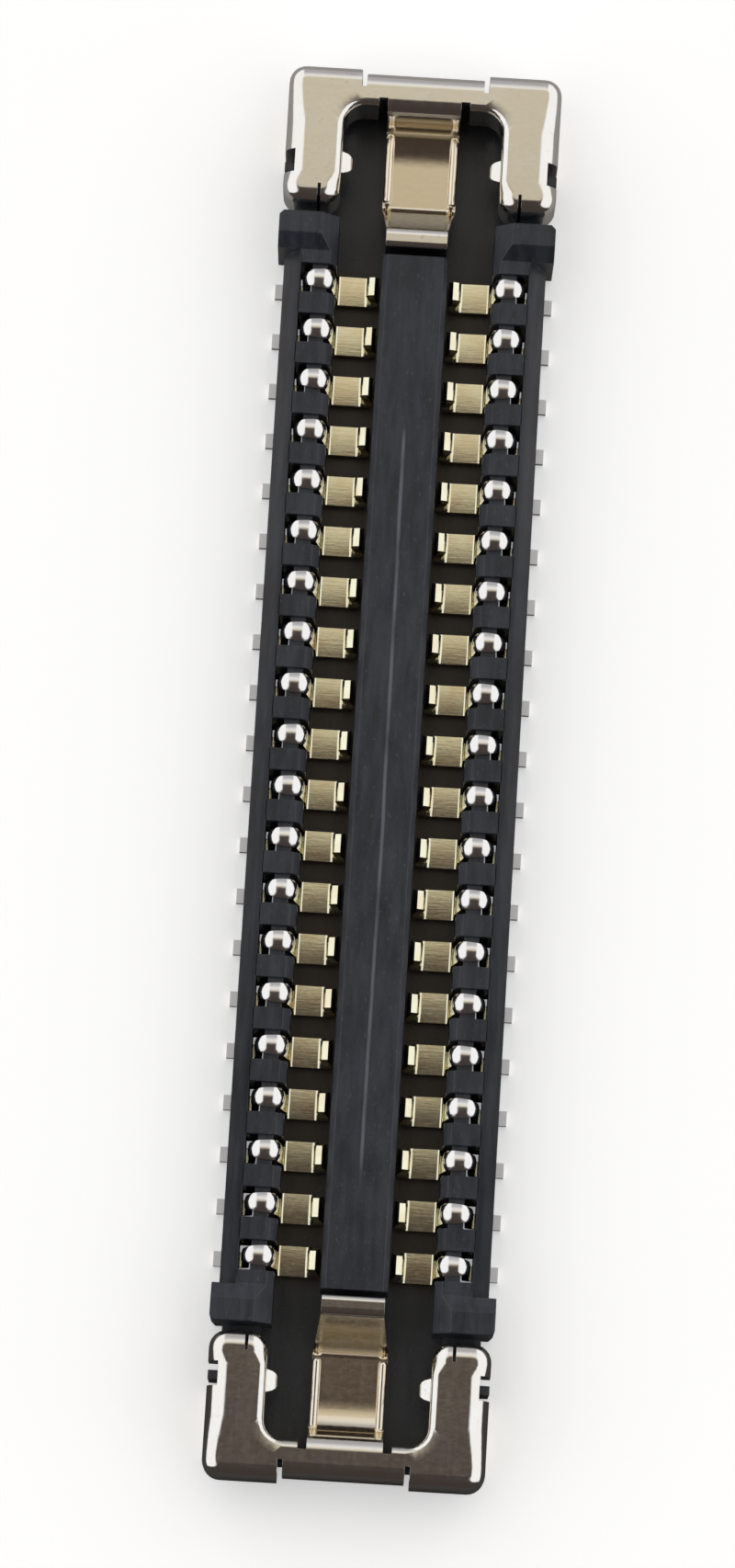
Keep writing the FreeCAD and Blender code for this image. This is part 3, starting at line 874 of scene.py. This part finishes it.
def makeWorld():
    # a white room with a dark strip overhead, from where the camera stands to the south
    world = bpy.data.worlds.new("studio")
    bpy.context.scene.world = world
    tree = Tree(world)
    x, y, z = tree.axes(tree.add("ShaderNodeTexCoord", output="Generated"))
    degrees = 180 / math.pi
    north = tree.add("ShaderNodeMath", {"operation": "ARCTAN2"}, {0: y, 1: z}) * degrees
    east = abs(tree.add("ShaderNodeMath", {"operation": "ARCSINE"}, {0: x, 1: 0.0})) * degrees
    span = studio["skyTo"] - studio["skyFrom"]
    sky = tree.add(
        "ShaderNodeValToRGB", {"stops": studio["sky"]}, {"Fac": (north - studio["skyFrom"]) / span},
    )
    spread = tree.ramp(0 - north, *studio["stripSouth"]) * studio["stripSpread"]  # wider low in the south
    beside = tree.ramp(east - spread, *studio["stripEdge"])
    white = (1.0, 1.0, 1.0)
    light = tree.blend(beside, sky, white)
    seen = tree.add("ShaderNodeLightPath", output="Is Camera Ray")
    background = tree.add("ShaderNodeBackground", None, {"Color": tree.blend(seen, light, white)})
    tree.add("ShaderNodeOutputWorld", None, {"Surface": background})


def makeFloor():
    bm = bmesh.new()
    below = Matrix.Translation((0, 0, -studio["floorGap"]))
    bmesh.ops.create_grid(bm, x_segments=1, y_segments=1, size=studio["floorHalf"], matrix=below)
    mesh = bpy.data.meshes.new("floor")
    bm.to_mesh(mesh)
    bm.free()
    finish = bpy.data.materials.new("floor")
    tree = Tree(finish)
    diffuse = tree.add("ShaderNodeBsdfDiffuse", None, {"Color": (*studio["floorColour"], 1.0)})
    seen = tree.add("ShaderNodeLightPath", output="Is Camera Ray")
    lift = tree.add("ShaderNodeEmission", None, {"Strength": seen * studio["floorLift"]})
    both = tree.add("ShaderNodeAddShader", None, {0: diffuse, 1: lift})
    # the bright metal mirrors a darker table than the cleared background shows
    north = tree.ramp(tree.axes(tree.place())[1], *studio["tableTurn"])
    darker = tree.blend(north, studio["tableSouth"], studio["tableNorth"])
    table = tree.add("ShaderNodeBsdfDiffuse", None, {"Color": darker})
    mirrored = tree.add("ShaderNodeLightPath", output="Is Glossy Ray")
    mixed = tree.add("ShaderNodeMixShader", None, {0: mirrored, 1: both, 2: table})
    tree.add("ShaderNodeOutputMaterial", None, {"Surface": mixed})
    mesh.materials.append(finish)
    floor = bpy.data.objects.new("floor", mesh)
    bpy.context.scene.collection.objects.link(floor)


cameraView = {
    "lens": 137.33,
    "sensor": 36.0,
    "clip": (0.001, 10.0),
    "distance": 0.040,
    "target": (0.0, 0.0, 0.0005),
    "south": 10.1,  # degrees away from straight above, as is the next one
    "east": 0.1,
    "roll": 3.42,
    "pictureHeight": 1706,
    "shiftPixels": (-19.5, -21.0),
}


def makeCamera():
    view = cameraView
    lens = bpy.data.cameras.new("camera")
    lens.lens = view["lens"]
    lens.sensor_width = view["sensor"]
    lens.clip_start, lens.clip_end = view["clip"]
    lens.shift_x, lens.shift_y = [pixels / view["pictureHeight"] for pixels in view["shiftPixels"]]
    east, south = math.radians(view["east"]), math.radians(view["south"])
    back = Vector((math.sin(east), -math.sin(south), math.cos(south))).normalized()
    right = Vector((0, 1, 0)).cross(back).normalized()
    up = back.cross(right)
    roll = math.radians(view["roll"])
    pictureRight = math.cos(roll) * right + math.sin(roll) * up
    pictureUp = math.cos(roll) * up - math.sin(roll) * right
    camera = bpy.data.objects.new("camera", lens)
    turn = Matrix((pictureRight, pictureUp, back)).transposed().to_4x4()
    camera.matrix_world = Matrix.Translation(Vector(view["target"]) + back * view["distance"]) @ turn
    bpy.context.scene.collection.objects.link(camera)
    bpy.context.scene.camera = camera


makeHousing(mouldedPlastic())
print("housing made")
makeContacts(contactPlating())
print("contacts made")
fittingFinish = fittingPlating()
makeFitting("end_fitting_rear", 0.0, fittingFinish)
makeFitting("end_fitting_front", math.pi, fittingFinish)
print("fittings made")
makeWorld()
makeFloor()
makeCamera()
bpy.context.scene.view_settings.view_transform = "Standard"
print("studio made")
